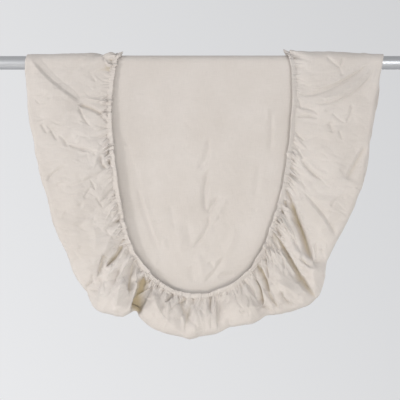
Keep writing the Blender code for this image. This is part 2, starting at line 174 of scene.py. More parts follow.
# Creases of the front skirt, each from its start through its middle to its end. "left" and "right" are how
# far its slopes run to either hand of someone who follows it.
CREASE_COLUMNS = "start_x start_drop mid_x mid_drop end_x end_drop depth left right".split()
FRONT_CREASES = (
    # Upper left
    (-318, -16, -274, 39, -212, 83, 6.2, 14, 46), (-312, -12, -268, 34, -214, 74, -1.6, 12, 4),
    (-226, 78, -198, 85, -171, 103, -5.5, 4, 4), (-208, 67, -184, 71, -168, 76, 1.8, 3, 3),
    (-176, -12, -173, 4, -161, 26, -3, 3, 4), (-165, -10, -160, 8, -158, 22, -2.4, 3, 3),
    (-221, -6, -218, 4, -214, 13, -1.8, 3, 4), (-204, 16, -197, 26, -190, 37, -2, 3, 4),
    (-222, 80, -213, 101, -199, 118, -2.6, 3, 3), (-190, 90, -177, 102, -163, 115, -2.6, 3, 3),
    # Left, halfway down
    (-290, 112, -285, 122, -278, 132, -2, 4, 3), (-273, 122, -267, 134, -259, 144, -2.2, 3, 3),
    (-259, 134, -248, 143, -240, 157, -2, 3, 4), (-243, 150, -213, 159, -181, 164, -2.8, 3, 4),
    (-223, 165, -212, 165, -200, 167, 1.8, 3, 3), (-197, 160, -194, 166, -190, 171, -2.2, 3, 4),
    (-178, 168, -181, 184, -168, 196, -4.5, 4, 5), (-170, 178, -165, 184, -162, 192, -2.4, 3, 3),
    (-279, 224, -268, 204, -238, 187, -2.4, 3, 7), (-246, 228, -214, 220, -176, 199, -2.2, 4, 9),
    (-204, 209, -197, 221, -190, 236, -2.4, 3, 3), (-212, 251, -206, 240, -198, 230, -1.8, 3, 4),
    (-183, 260, -203, 283, -229, 309, -2.4, 10, 12), (-190, 247, -184, 256, -177, 267, -2.2, 3, 3),
    (-171, 247, -178, 253, -186, 258, -1.8, 3, 3), (-262, 282, -250, 300, -240, 316, 1.4, 8, 8),
    (-251, 326, -245, 336, -238, 348, -2.6, 3, 3), (-196, 300, -190, 322, -192, 346, 1.5, 8, 8),
    (-172, 305, -164, 316, -152, 326, -1.8, 4, 4),
    # Lower left: the crease at the hem, the nick and the lobe
    (-140, 332, -152, 354, -174, 378, -9, 2.5, 4.5), (-136, 340, -151, 366, -172, 394, 4, 8, 4),
    (-126, 334, -131, 344, -138, 351, -3, 3, 3), (-174, 350, -180, 367, -188, 396, -5.5, 8, 2.5),
    (-184, 394, -180, 404, -184, 416, -1.8, 3, 3), (-193, 386, -197, 396, -190, 407, -1.8, 3, 3),
    (-203, 414, -195, 416, -185, 415, -2.8, 3, 4), (-190, 398, -207, 412, -206, 434, -4.4, 4, 3),
    (-205, 424, -197, 436, -187, 446, -3.4, 3, 4), (-160, 362, -172, 400, -188, 446, 4, 13, 8),
    (-149, 376, -154, 398, -168, 430, -2.8, 2.5, 6), (-140, 374, -145, 388, -150, 396, 2, 3, 3),
    (-123, 346, -139, 376, -154, 410, 5, 10, 5), (-136, 392, -150, 426, -152, 466, 6, 14, 5),
    (-121, 354, -125, 388, -128, 430, -4.5, 3, 6), (-115, 364, -119, 408, -129, 458, 5.5, 3, 5),
    (-102, 388, -110, 424, -121, 474, -14, 9, 8), (-154, 440, -149, 454, -146, 470, -3, 4, 5),
    (-102, 400, -96, 404, -89, 396, -4.5, 3, 3), (-112, 379, -107, 382, -101, 380, -3, 3, 3),
    (-94, 384, -90, 391, -84, 396, -3, 3, 3), (-108, 420, -96, 418, -82, 412, -3, 3, 4),
    # Bottom: tucks at the hem and troughs
    (-64, 439, -57, 431, -49, 422, -4.7, 3, 3), (-62, 438, -70, 453, -57, 469, -2.3, 4, 5),
    (-55, 462, -46, 444, -17, 431, -2.6, 3, 4), (-8, 428, -22, 456, -29, 506, -3.4, 9, 2.5),
    (-16, 440, -8, 466, -12, 500, 1.7, 12, 6), (22, 428, 19, 444, 25, 460, -2.3, 3, 3),
    (39, 422, 37, 432, 33, 442, -2.6, 4, 3), (31, 424, 33, 458, 32, 495, -3.3, 13, 2.5),
    (48, 466, 55, 482, 54, 500, -2.9, 5, 6), (66, 420, 68, 436, 80, 449, -1.7, 4, 3),
    (82, 422, 90, 434, 86, 448, -1.7, 3, 4), (70, 450, 76, 456, 82, 454, -1.7, 3, 3),
    (82, 474, 84, 482, 90, 482, -1.7, 3, 3),
    # Lower right: long creases from the hem to the outline
    (76, 401, 91, 409, 103, 434, -4, 3, 5), (97, 391, 108, 414, 114, 450, -9, 2.5, 6),
    (110, 443, 120, 449, 136, 461, -4.5, 3, 3), (101, 366, 115, 390, 128, 430, -9, 2.5, 6),
    (121, 410, 130, 430, 146, 452, -4.5, 2.5, 6), (117, 350, 121, 374, 123, 400, -5, 2.5, 5),
    (109, 364, 117, 380, 121, 396, 2.6, 3, 3), (128, 400, 134, 424, 148, 452, 3.4, 12, 4),
    (149, 417, 152, 431, 176, 446, -5.5, 3, 6), (138, 398, 160, 413, 186, 430, 3.2, 9, 8),
    (139, 345, 150, 357, 156, 380, -4, 3, 7), (131, 307, 148, 332, 168, 366, -8.5, 2.5, 7),
    (152, 338, 174, 376, 193, 406, -9, 2.5, 11), (180, 384, 196, 408, 216, 436, -7.5, 2.5, 9),
    (178, 359, 190, 366, 208, 378, -4, 11, 2.5), (203, 368, 206, 394, 216, 426, 4.6, 16, 12),
    (150, 350, 165, 374, 178, 392, 3, 3, 5), (207, 362, 216, 364, 234, 363, -4.5, 3, 8),
    (213, 327, 211, 344, 213, 361, -2.6, 3, 3), (221, 338, 224, 350, 229, 361, -2.2, 3, 3),
    (155, 253, 157, 259, 159, 267, -5, 3, 3), (147, 267, 149, 272, 152, 277, -4, 2.5, 2.5),
    (142, 275, 151, 291, 161, 312, -5, 2.5, 2.5), (139, 283, 145, 296, 152, 306, -3, 2.5, 2.5),
    (147, 279, 155, 294, 166, 312, 2, 2.5, 3), (139, 299, 143, 311, 148, 323, -4, 2.5, 3),
    (160, 312, 168, 322, 176, 336, -2.4, 3, 4), (153, 228, 167, 254, 180, 288, -5.5, 2.5, 4),
    (163, 246, 186, 304, 211, 372, -10.5, 2.5, 10), (163, 230, 191, 298, 214, 364, 4, 12, 4),
    (177, 228, 182, 246, 187, 264, 2.2, 5, 3), (181, 230, 226, 280, 248, 322, -4.2, 12, 5),
    # Right, halfway down
    (237, 266, 248, 252, 270, 243, -2.4, 3, 5), (183, 175, 201, 198, 225, 217, -3.5, 4, 4),
    (192, 172, 210, 194, 236, 208, 1.7, 6, 5), (172, 125, 181, 136, 191, 144, -2.2, 3, 3),
    (173, 136, 184, 149, 196, 162, 1.7, 3, 3), (171, 150, 181, 165, 190, 182, -2.6, 3, 3),
    (166, 158, 174, 170, 182, 178, -1.8, 2, 2), (309, 145, 286, 181, 266, 220, -3.8, 8, 5),
    (296, 157, 304, 172, 298, 189, -2.4, 3, 3), (302, 178, 296, 186, 292, 194, -1.8, 3, 3),
    (284, 226, 291, 233, 297, 240, -1.8, 3, 3), (235, 108, 239, 119, 242, 131, -2.6, 6, 6),
    (252, 124, 257, 134, 259, 144, -1.7, 4, 4),
    # Upper right: two long ridges
    (172, 52, 225, 54, 322, -4, -3, 3, 4), (196, 47, 244, 39, 318, -6, 2.5, 7, 3),
    (206, 75, 268, 63, 328, 4, -3, 3, 4), (218, 66, 266, 54, 324, 0, 2.8, 8, 3),
    (178, 66, 182, 76, 185, 88, -2.1, 3, 3), (183, 84, 205, 88, 214, 98, -1.9, 4, 4),
    (228, 94, 240, 84, 265, 87, -1.7, 3, 5), (176, 101, 194, 99, 217, 103, -2.9, 3, 3),
    (241, 91, 251, 103, 267, 112, -1.5, 4, 4), (277, 74, 275, 95, 266, 113, -2.1, 3, 4),
    (230, -9, 246, 2, 258, 12, -2.7, 3, 4), (262, -8, 259, 2, 254, 12, -2.3, 3, 3),
    (255, 8, 258, 17, 261, 26, -1.7, 5, 5),
)

# Creases of the panel's front
PANEL_CREASES = (
    (16, 136, 13, 170, -6, 201, -1.6, 4, 8), (21, 192, 9, 236, 14, 281, -2.2, 4, 7),
    (14, 279, 13, 306, -18, 346, -2, 4, 6), (38, 244, 23, 262, 14, 282, -2, 4, 6),
    (50, 250, 36, 274, 22, 300, 1.2, 7, 7), (-144, 122, -122, 186, -105, 234, -0.8, 5, 12),
    (-116, 226, -99, 280, -73, 356, -1.1, 4, 7), (-104, 236, -90, 290, -68, 350, 0.6, 6, 6),
    (-67, 322, -65, 334, -63, 348, 1, 6, 6), (-56, 258, -51, 282, -47, 306, -0.9, 7, 7),
    (-24, 292, -20, 314, -17, 338, -1, 7, 7), (-40, 300, -36, 326, -34, 352, 0.9, 9, 9),
    (17, 364, 23, 372, 29, 382, -1.4, 4, 5), (-15, 370, -14, 388, -11, 405, -1, 6, 6),
    (6, 405, 26, 384, 44, 353, -1.8, 5, 8), (30, 392, 50, 390, 70, 386, -1.2, 4, 6),
    (-6, 352, 2, 372, 4, 398, 1.1, 8, 8), (129, 88, 132, 124, 129, 166, -1.4, 4, 8),
    (122, 84, 126, 96, 127, 108, 0.8, 5, 5), (108, 180, 106, 214, 98, 250, -0.9, 8, 8),
    (64, 300, 58, 330, 44, 352, 0.9, 9, 9),
)

# Gathers at the hem, finest first: how far apart, how deep, how wide, how much wider for each millimetre away
# from the hem, and how far they run out against their section's "spread"
GATHERS = (
    (5.2, 2.0, 1.4, 0.06, 0.7),
    (8.5, 2.7, 2.0, 0.08, 1.1),
    (17, 2.4, 3.4, 0.10, 1.9),
    (38, 2.6, 6.5, 0.12, 3.2),
)
# How unevenly they lie
GATHER_SHIFT = 0.42
GATHER_SLANT = 0.20
GATHER_BEND = 0.9
GATHER_SIZE = (0.25, 1.35)
GATHER_RUN = (0.45, 1.5)
GATHER_STEEPNESS = (0.6, 1.0)
# How far the gathers run aslant towards the bottom, and at what half width of the hem
GATHER_DRAG = 0.6
GATHER_DRAG_WIDTH = 0.16
# Waves as depth, size and seed: in the gathers' depth, the turned edge's line and the hem's line
GATHER_WAVE = (0.8, 0.034, 15)
EDGE_WAVES = ((0.0011, 0.026, 5), (0.0016, 0.061, 6))
HEM_WAVE = (0.0008, 0.021, 7)

# Facets over the cloth, largest first: size, how much longer they are than wide, and slope
FACETS = ((48, 1.9, 0.145), (26, 1.9, 0.165), (13, 1.6, 0.13))
PANEL_FACETS = ((95, 2.2, 0.022), (44, 2.0, 0.020), (20, 1.6, 0.014))
FACET_SHARPNESS = 50
FACET_BEND = 0.007
FACET_BEND_SIZE = 0.060

# Strewn creases: how many, and the area in x and length that they lie in
SKIRT_STREWN = (1500, (-0.34, 0.35), (-0.50, 0.54))
PANEL_STREWN = (130, (-0.15, 0.15), (-0.40, 0.40))
# Length along the cloth of the point that they run away from, and how far they stray
FAN_LENGTH = 0.150
STREWN_STRAY = 0.6
# Their half length and two slopes, their depth and their bend
STREWN_SIZES = ((5, 22), (1.4, 2.4), (4, 11))
STREWN_DEPTH = (0.5, 2.4)
STREWN_BEND = (-0.25, 0.25)
# Two of three sink in
SIGNS = (-1, -1, 1)

# How strongly each kind shows in the form
FOLD_SHARE = 0.75
CREASE_SHARE = 1.15
STREWN_SHARE = 0.8
PANEL_CREASE_SHARE = 2.0
# How strongly each counts for the warm shade painted into the cloth's colour in its folds, and the depths at
# which that painted shade begins and is full
PAINTED_SHADE_OF_CREASES = 1.25
PAINTED_SHADE_OF_FOLDS = 0.35
OPEN_FOLD = 0.0045
DEEP_FOLD = 0.018
# How close to the panel a fold comes, and the skirt without creases
FOLD_FLOOR = 0.0012
SKIRT_FLOOR = 0.0018
# What is left of the creasing at the outline, on the rail and high on the panel, and of the skirt's height on
# the rail, and the distance to where it is all there
EDGE_CALM = (0.45, 0.022)
RAIL_CALM = (0.45, 0.03)
PANEL_CALM = (0.25, 0.22)
RAIL_FLATNESS = (0.62, 0.09)
# Depth of the panel's hollow at the hem
HEM_HOLLOW = 0.0016
# How the hem's band tilts with the skirt's way sideways: gain, start and limit
HEM_TILT_LEFT = (2.0, -1.0, 1.0)
HEM_TILT_RIGHT = (3.2, -0.6, 1.5)
# How far a crease's slopes run beyond its widths, and how round its crest and narrow its ends are
SLOPE_RUN = 1.5
CREST_ROUND = 0.03
STEEPENING = 1.6
POINTED = 0.35
# The lip beside an uneven crease: height, start and rise in the steep slope's widths, run in the gentle one's
LIP = 0.28
LIP_START = 1.1
LIP_RISE = 0.6
LIP_RUN = 0.9
UNEVEN = 1.2
# Points along a curve, the share of it over which each end fades out, and how many widths it reaches
FOLD_POINTS = 13
FOLD_END = 0.2
FOLD_REACH = 1.6
CREASE_POINTS = 9
CREASE_END = 0.22
CREASE_REACH = 2.2
# Columns and rows over which the panel's creases begin
PANEL_RIM = 14

# Soft lights: name, place, target, size, power, colour and opening angle
LIGHTS = (
    ("key", (-1.52, -0.76, -0.05), (0, 0, -0.2), (0.09, 0.09), 10.8, (0.985, 0.985, 0.985), 180),
    ("fill", (0.65, -1.2, 0.0), (0.1, 0, -0.2), (0.4, 0.4), 4.6, (0.95, 0.98, 1.0), 180),
    ("front", (0.2, -3.0, 0.1), (0, 0, -0.2), (1.6, 1.0), 4.5, (1.0, 0.985, 0.965), 180),
    ("low", (0.0, -1.1, -1.0), (0, 0, -0.47), (1.2, 0.4), 2.4, (1.0, 0.965, 0.88), 110),
    ("behind", (0.3, 2.2, -0.2), (0, 0, -0.2), (0.6, 0.6), 1.8, (1.0, 1.0, 1.0), 60),
    ("behind_side", (1.4, 1.0, -0.05), (0, 0, -0.2), (0.3, 0.3), 1.8, (1.0, 0.985, 0.965), 80),
)
# The camera's distance from the rail, how wide it sees there, and its height
CAMERA_DISTANCE = 2.75
SEEN_WIDTH = 0.736
CAMERA_HEIGHT = -0.2524
# The cloth's mottled colours with their places from dark to light, and the warm darker tint painted deep in a
# fold as shade
CLOTH_COLOURS = ((0.30, (0.508, 0.462, 0.424, 1)), (0.72, (0.556, 0.512, 0.478, 1)))
PAINTED_SHADE_TINT = (0.74, 0.66, 0.47, 1)
METAL_COLOUR = (0.56, 0.565, 0.575, 1)
FLOOR_COLOUR = (0.86, 0.86, 0.87, 1)
FLOOR_HEIGHT = -1.2
# The surroundings' colour, and their strength over a range of directions upwards and to the right
SKY_COLOUR = (0.975, 0.982, 1.0, 1)
UPWARD = ((-0.25, 0.6), (0.825, 0.60))
RIGHTWARD = ((-0.14, 0.14), (1.055, 0.915))


def ring_sections():
    """All the sections' values in order round the sheet, and their angles."""
    table = np.array(FRONT_SECTIONS + BACK_SECTIONS).T
    ring = {name: column * (1.0 if name in SHARES else MM) for name, column in zip(SECTION_COLUMNS, table)}
    side = np.where(np.arange(table.shape[1]) < len(FRONT_SECTIONS), 1.0, -1.0)
    for end in ("edge", "hem"):
        ring[end + "_length"] = side * (ring.pop(end + "_drop") + QUARTER_TURN)
    ring["angle"] = np.unwrap(np.arctan2(ring["edge_length"] / HANG_LENGTH, -ring["edge_x"] / HALF_WIDTH))
    return ring


def smooth_between(angle, ring, name):
    """The ring's value at each angle, along a smooth closed curve."""
    knots = ring["angle"]
    count = len(knots)
    position = knots[0] + np.mod(angle - knots[0], TURN)
    around = np.searchsorted(knots, position, side="right") - 1 + np.arange(-1, 3)[:, None]
    before, first, second, after = knots[around % count] + TURN * (around // count)
    v_before, v_first, v_second, v_after = ring[name][around % count]
    span = second - first
    slope_first = (v_second - v_before) / (second - before) * span
    slope_second = (v_after - v_first) / (after - first) * span
    t = (position - first) / span
    return (
        (2 * t**3 - 3 * t**2 + 1) * v_first
        + (t**3 - 2 * t**2 + t) * slope_first
        + (3 * t**2 - 2 * t**3) * v_second
        + (t**3 - t**2) * slope_second
    )


def smooth_step(value):
    """0 to 1 with flat ends."""
    value = np.clip(value, 0.0, 1.0)
    return value * value * (3 - 2 * value)


def eased(low_and_run, distance):
    """From a low share up to 1 with flat ends, over a run."""
    low, run = low_and_run
    return low + (1 - low) * smooth_step(distance / run)


def faded(along, first, last):
    """1 in the middle and 0 at both ends."""
    return smooth_step(along / first) * smooth_step((1 - along) / last)


def along_curve(x, drop, row, bend, scale, count, reach):
    """Which points lie near a curve, how far from it, on which side and how far along it."""
    t = np.linspace(0, 1, count)
    path_x, path_drop = (
        size * ((1 - t) ** 2 * row["start_" + axis] + 2 * t * (1 - t) * middle + t**2 * row["end_" + axis])
        for axis, middle, size in zip(AXES, bend, scale)
    )
    near = (x > path_x.min() - reach) & (x < path_x.max() + reach)
    near &= (drop > path_drop.min() - reach) & (drop < path_drop.max() + reach)
    nearest = np.full(np.count_nonzero(near), np.inf)
    along = np.zeros_like(nearest)
    side = np.zeros_like(nearest)
    for step in range(count - 1):
        dx = path_x[step + 1] - path_x[step]
        dd = path_drop[step + 1] - path_drop[step]
        off_x = x[near] - path_x[step]
        off_drop = drop[near] - path_drop[step]
        t = np.clip((off_x * dx + off_drop * dd) / (dx * dx + dd * dd), 0, 1)
        distance = np.hypot(off_x - t * dx, off_drop - t * dd)
        closer = distance < nearest
        nearest = np.where(closer, distance, nearest)
        along = np.where(closer, (step + t) / (count - 1), along)
        side = np.where(closer, dx * off_drop - dd * off_x, side)
    return near, nearest, side, along


def fold_height(x, drop, scale=(1.0, 1.0)):
    """How far the main folds lift or sink the front skirt."""
    height = np.zeros_like(x)
    for numbers in FRONT_FOLDS:
        row = {name: number * MM for name, number in zip(FOLD_COLUMNS, numbers)}
        bend = (row["bend_x"], row["bend_drop"])
        reach = FOLD_REACH * row["width"]
        near, distance, _, along = along_curve(x, drop, row, bend, scale, FOLD_POINTS, reach)
        profile = np.exp(-((distance / (row["width"] / 2)) ** 2))
        height[near] += row["depth"] * faded(along, FOLD_END, FOLD_END) * profile
    return height


def crease_height(x, drop, rows, scale=(1.0, 1.0)):
    """How far creases lift or sink the cloth. Where two cross, the larger one holds."""
    raised = np.zeros_like(x)
    sunk = np.zeros_like(x)
    for numbers in rows:
        row = {name: number * MM for name, number in zip(CREASE_COLUMNS, numbers)}
        bend = [2 * row["mid_" + axis] - (row["start_" + axis] + row["end_" + axis]) / 2 for axis in AXES]
        left, right = (row["left"], row["right"]) if scale[0] > 0 else (row["right"], row["left"])
        reach = CREASE_REACH * max(left, right)
        near, distance, side, along = along_curve(x, drop, row, bend, scale, CREASE_POINTS, reach)
        ends = faded(along, CREASE_END, CREASE_END)
        crease = row["depth"] * ends * pleat(np.where(side > 0, distance, -distance), left, right, ends)
        height, larger = (raised, np.maximum) if row["depth"] > 0 else (sunk, np.minimum)
        height[near] = larger(height[near], crease)
    return raised + sunk


def on_both_sides(heights, x, length, *rows):
    """A kind of height on the front, and its smaller mirror image on the back."""
    drop = seen_drop(length)
    back = BACK_FOLD_DEPTH * heights(x, drop, *rows, scale=BACK_FOLD_SCALE)
    back = BACK_FOLD_LIMIT * np.tanh(back / BACK_FOLD_LIMIT)
    return np.where(length > 0, heights(x, drop, *rows), back)


def tent(slope):
    """Height of a fold whose sides steepen towards its crest, from 1 there to 0."""
    return np.maximum(0, 1 + CREST_ROUND - np.hypot(slope, CREST_ROUND)) ** STEEPENING


def pleat(across, left, right, ends):
    """Height across a crease: 1 along it, two slopes, and a lip beyond the steeper one."""
    taper = POINTED + (1 - POINTED) * ends
    left, right = left * taper, right * taper
    fall = tent(np.abs(across) / (SLOPE_RUN * np.where(across > 0, right, left)))
    steep, gentle = np.minimum(left, right), np.maximum(left, right)
    beyond = np.where(right < left, across, -across) - LIP_START * steep
    rise = LIP_RISE * steep
    lip = np.clip(beyond / rise, 0, 1) * tent(np.maximum(beyond - rise, 0) / (LIP_RUN * gentle))
    return fall - LIP * lip * (gentle > UNEVEN * steep)


def value_noise(x, y, cell, seed):
    """Smooth noise from -1 to 1."""
    lattice = np.random.default_rng(seed).uniform(-1, 1, (NOISE_CELLS, NOISE_CELLS))
    left, below = (np.floor(place / cell).astype(int) for place in (x, y))
    u, v = (t**3 * (t * (6 * t - 15) + 10) for t in (x / cell - left, y / cell - below))

    def corner(step_x, step_y):
        return lattice[(left + step_x) % NOISE_CELLS, (below + step_y) % NOISE_CELLS]

    low = (1 - u) * corner(0, 0) + u * corner(1, 0)
    high = (1 - u) * corner(0, 1) + u * corner(1, 1)
    return (1 - v) * low + v * high


def nearest_mound(x, y, seed):
    """Squared distance to the nearest of scattered points, one in each cell, softly joined."""
    place = np.random.default_rng(seed).uniform(0.08, 0.92, (MOUND_CELLS, MOUND_CELLS, 2))
    column, row = (np.floor(value).astype(int) for value in (x, y))
    total = np.zeros_like(x)
    for step_x in (-1, 0, 1):
        for step_y in (-1, 0, 1):
            point = place[(column + step_x) % MOUND_CELLS, (row + step_y) % MOUND_CELLS]
            off_x = x - column - step_x - point[..., 0]
            off_y = y - row - step_y - point[..., 1]
            total += np.exp(-FACET_SHARPNESS * (off_x**2 + off_y**2))
    return -np.log(total + 1e-30) / FACET_SHARPNESS


def wave(run, depth, size, seed):
    """Smooth waves along a line."""
    return depth * value_noise(run, 0.0, size, seed)


def facet_height(x, y, levels, seed):
    """Flat facets with sharp folds between: one pattern of mounds less another."""
    bend_x = x + FACET_BEND * value_noise(x, y, FACET_BEND_SIZE, seed + 1)
    bend_y = y + FACET_BEND * value_noise(x, y, FACET_BEND_SIZE, seed + 2)
    height = 0.0
    for index, (size, stretch, slope) in enumerate(levels):
        cell = size * MM
        turn = 0.5 * index
        u = (bend_x * math.cos(turn) + bend_y * math.sin(turn) / stretch) / cell
        v = (bend_y * math.cos(turn) / stretch - bend_x * math.sin(turn)) / cell
        mounds = nearest_mound(u, v, seed + 10 + index) - nearest_mound(u, v, seed + 20 + index)
        strength = 0.75 + 0.6 * value_noise(x, y, 2.3 * cell, seed + 30 + index)
        height += slope * cell * strength * mounds
    return height


def short_creases(x, length, strewn, seed):
    """Small creases strewn over the cloth, most of them running outwards."""
    random = np.random.default_rng(seed)
    height = np.zeros_like(x)
    count, bounds_x, bounds_length = strewn
    for _ in range(count):
        centre_x = random.uniform(*bounds_x)
        centre_length = random.uniform(*bounds_length)
        outward = math.atan2(centre_length - math.copysign(FAN_LENGTH, centre_length), centre_x)
        direction = outward + random.normal(0, STREWN_STRAY)
        half, sharp, soft = (random.uniform(*limits) * MM for limits in STREWN_SIZES)
        depth = random.choice(SIGNS) * random.uniform(*STREWN_DEPTH) * MM
        bend = random.uniform(*STREWN_BEND)
        reach = half + 3 * soft
        near = (np.abs(x - centre_x) < reach) & (np.abs(length - centre_length) < reach)
        off_x = x[near] - centre_x
        off_length = length[near] - centre_length
        along = off_x * math.cos(direction) + off_length * math.sin(direction)
        across = -off_x * math.sin(direction) + off_length * math.cos(direction) - bend * along**2 / half
        ends = smooth_step(1 - np.abs(along) / half)
        height[near] += depth * ends * pleat(across, sharp, soft, ends)
    return height


def hang(x, length, height):
    """Place points of the cloth by length along it and height off the panel."""
    on_rail = np.abs(length) <= QUARTER_TURN
    angle = length / LAY_RADIUS
    radius = LAY_RADIUS + height
    drop = np.abs(length) - QUARTER_TURN
    lean = LEAN * smooth_step(drop / LEAN_DROP)
    y = np.where(on_rail, -radius * np.sin(angle), -np.sign(length) * (radius - lean))
    z = np.where(on_rail, radius * np.cos(angle), -drop)
    return np.stack((x, y, z), axis=-1)


def seen_drop(length):
    """Drop of the cloth as seen from the front, also over the rail."""
    over = np.clip(np.abs(length), 0, QUARTER_TURN)
    return np.abs(length) - over - LAY_RADIUS * np.cos(over / LAY_RADIUS)


def section_values(ring, angle):
    """Each of the ring's values at each angle."""
    return {name: smooth_between(angle, ring, name) for name in ring if name != "angle"}


def panel_edge(ring, angle):
    """Where the panel ends and the turned edge begins, as x and length."""
    value = section_values(ring, angle)
    run_x = value["hem_x"] - value["edge_x"]
    run_length = value["hem_length"] - value["edge_length"]
    share = value["reach"] / np.hypot(run_x, run_length)
    return value["edge_x"] + share * run_x, value["edge_length"] + share * run_length


def side_lengths():
    """Lengths of the panel's rows, from the back corner to the front corner."""
    over_rail = np.linspace(-QUARTER_TURN, QUARTER_TURN, RAIL_ROWS + 1)
    front = QUARTER_TURN + CORNER_DROP * np.arange(1, FRONT_ROWS + 1) / FRONT_ROWS
    back = QUARTER_TURN + CORNER_DROP * np.arange(1, BACK_ROWS + 1) / BACK_ROWS
    return np.concatenate((-back[::-1], over_rail, front))


def rim_angles(ring):
    """Angles of the panel's rim: down its left side, the bottom, up its right side, the back."""
    lengths = side_lengths()
    fine = ring["angle"][0] + np.linspace(-0.25, 0.75, 8001) * TURN
    edge_length = smooth_between(fine, ring, "edge_length")
    edge_x = smooth_between(fine, ring, "edge_x")
    at_side = np.abs(edge_length) < 0.85 * HANG_LENGTH
    left, right = (
        np.interp(sign * lengths[::sign], sign * edge_length[here], fine[here])
        for sign, here in ((1, at_side & (edge_x < 0)), (-1, at_side & (edge_x > 0)))
    )

    def along_bottom(first, last):
        angles = np.linspace(first, last, 2001)
        run = run_along(*(smooth_between(angles, ring, name) for name in ("edge_x", "edge_length")))
        return np.interp(np.linspace(0, run[-1], BOTTOM_COLUMNS + 1), run, angles)[:-1]

    front = along_bottom(left[-1], right[0])
    back = along_bottom(right[-1], left[0] + TURN)
    return left[:-1], front, right[:-1], back


def panel_grid(ring, sides):
    """The flat panel between its four sides, as x and length: rows down, columns across."""
    corners = [side[0] for side in sides[1:] + sides[:1]]
    left, front, right, back = (
        np.stack(panel_edge(ring, np.append(side, corner))) for side, corner in zip(sides, corners)
    )
    right = right[:, ::-1]
    back = back[:, ::-1]
    across = np.linspace(0, 1, front.shape[1])
    lengths = (left[1] + right[1]) / 2
    longest = np.abs(lengths).max()
    hanging = np.clip((np.abs(lengths) - STRAIGHT_LENGTH) / (longest - STRAIGHT_LENGTH), 0, 1) ** 1.3
    grid = (1 - across) * left[:, :, None] + across * right[:, :, None]
    for bottom, here in ((back, lengths < 0), (front, lengths > 0)):
        bow = bottom[:, None] - (1 - across) * bottom[:, None, :1] - across * bottom[:, None, -1:]
        grid = grid + np.where(here, hanging, 0)[:, None] * bow
    return grid


def panel_height(x, length):
    """How far the panel waves and creases off its flat shape."""
    row, column = (np.minimum(np.arange(count), np.arange(count)[::-1]) / PANEL_RIM for count in x.shape)
    rim = smooth_step(row)[:, None] * smooth_step(column)
    drop = np.abs(length) - QUARTER_TURN
    below = smooth_step((drop - 0.004) / 0.05)
    height = PANEL_CREASE_SHARE * on_both_sides(crease_height, x, length, PANEL_CREASES)
    height += facet_height(x, length, PANEL_FACETS, seed=70) * below
    lower = eased(PANEL_CALM, np.abs(length) - 0.12)
    height += STREWN_SHARE * lower * short_creases(x, length, PANEL_STREWN, seed=31) * below
    hollow = HEM_HOLLOW * smooth_step((np.abs(length) - 0.30) / 0.12)
    return rim * smooth_step((drop + 0.004) / 0.02) * (height - hollow)


def gather_height(hem_run, distance, value):
    """Gathers by how far round the hem a column lies and how far off it a point is."""
    random = np.random.default_rng(11)
    total = hem_run[-1]
    height = np.zeros_like(distance)
    beside = value["hem_x"] / GATHER_DRAG_WIDTH * np.sign(value["hem_length"])
    drag = -GATHER_DRAG * beside * smooth_step((np.abs(value["hem_length"]) - 0.08) / 0.15)
    patches = 1 + wave(hem_run, *GATHER_WAVE)
    for pitch, depth, width, widening, run in GATHERS:
        count = int(total / (pitch * MM))
        for index in range(count):
            place = (index + random.uniform(-GATHER_SHIFT, GATHER_SHIFT)) * total / count
            slant = random.normal(0, GATHER_SLANT)
            bend = 10 * random.normal(0, GATHER_BEND)
            size = depth * MM * random.uniform(*GATHER_SIZE) * random.choice(SIGNS)
            stretch = random.uniform(*GATHER_RUN)
            sharp = random.uniform(*GATHER_STEEPNESS)
            centre = np.searchsorted(hem_run, place % total)
            slant += drag[centre]
            size = size * patches[centre] * value["gather"][centre]
            length = run * value["spread"][centre] * stretch
            reach = 2 * width * MM + (abs(slant) + 2 * widening) * length + abs(bend) * length**2
            offset = (hem_run - place + total / 2) % total - total / 2
            near = np.abs(offset) < reach + 0.002
            far = distance[:, near]
            offset = offset[near] - slant * far - bend * far**2
            half_width = width * MM + widening * np.maximum(far, 0)
            slope = np.abs(offset) / np.where(offset > 0, half_width, half_width * sharp)
            fade = smooth_step(1 - far / length) * smooth_step((far + 0.0015) / 0.004)
            height[:, near] += size * fade * tent(slope / SLOPE_RUN)
    return height


